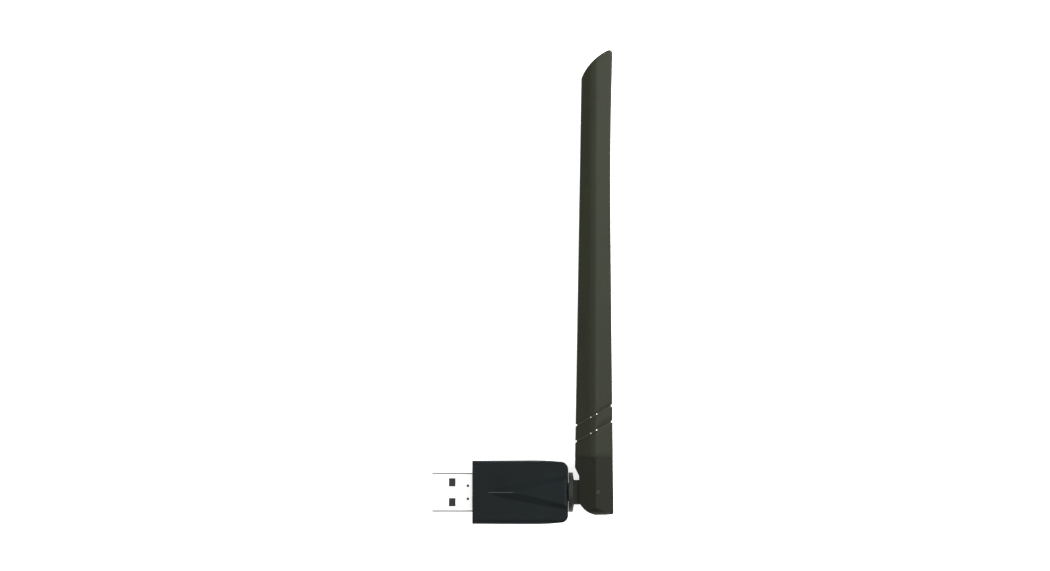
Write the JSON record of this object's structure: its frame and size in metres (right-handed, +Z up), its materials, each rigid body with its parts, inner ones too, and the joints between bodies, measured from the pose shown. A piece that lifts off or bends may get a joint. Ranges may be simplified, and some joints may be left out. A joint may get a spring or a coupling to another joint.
{
  "type": "usb wifi adapter",
  "caption": "Flat USB wireless network adapter: type A plug, plastic housing with a raised spear, and a paddle antenna on a swivelling, tilting hinge.",
  "frame": {"origin": "centre of the USB plug, in the plane of the housing's front face where the plug's shoulder stops", "axes": "-X out of the USB plug, +Y along the antenna as stored at 90 degrees to the plug, +Z up from the flat underside"},
  "size_m": [0.0555, 0.1449, 0.0124],
  "materials": {
    "housing_plastic": "fine satin",
    "antenna_plastic": "satin",
    "swivel_plastic": "satin",
    "nickel_shell": "bright nickel",
    "insulator": "satin",
    "gold_contact": "gold plated",
    "board_green": "solder mask",
    "chip_epoxy": "moulded epoxy",
    "crystal_can": "satin",
    "ferrite": "ferrite",
    "ceramic_white": "ceramic",
    "ceramic_tan": "ceramic",
    "solder": "bright",
    "lead_jacket": "smooth",
    "washer_nylon": "satin",
    "pin_steel": "blackened",
    "strip_board": "fibreglass",
    "copper": "bare copper"
  },
  "bodies": {
    "housing": {"upper_housing": "housing_plastic", "lower_housing": "housing_plastic", "usb_shell": "nickel_shell", "usb_tongue": "insulator", "contact_vbus": "gold_contact", "contact_data_minus": "gold_contact", "contact_data_plus": "gold_contact", "contact_ground": "gold_contact", "main_pcb": "board_green", "wifi_chip": "chip_epoxy", "crystal": "crystal_can", "power_inductor": "ferrite", "voltage_regulator": "chip_epoxy", "rf_diplexer": "ceramic_white", "ceramic_capacitors": "ceramic_tan", "resistors": "chip_epoxy", "board_solder": "solder", "coax_body": "lead_jacket", "friction_washer": "washer_nylon"},
    "swivel": {"swivel_base": "swivel_plastic", "coax_swivel": "lead_jacket", "coax_flex": "lead_jacket"},
    "antenna": {"antenna_clevis": "antenna_plastic", "hinge_pin_front": "pin_steel", "hinge_pin_back": "pin_steel", "antenna_sheath": "antenna_plastic", "antenna_pcb": "strip_board", "antenna_trace": "copper", "coax_antenna": "lead_jacket", "feed_solder": "solder"}
  },
  "joints": [
    {"name": "swivel_turn", "type": "hinge", "parent": "housing", "child": "swivel", "pos_m": [0.0294, 0, 0], "axis": [1, 0, 0], "range_deg": [-150, 150]},
    {"name": "antenna_tilt", "type": "hinge", "parent": "swivel", "child": "antenna", "pos_m": [0.0383, 0, 0], "axis": [0, 0, -1], "range_deg": [0, 90], "deforming": ["coax_flex"]}
  ]
}
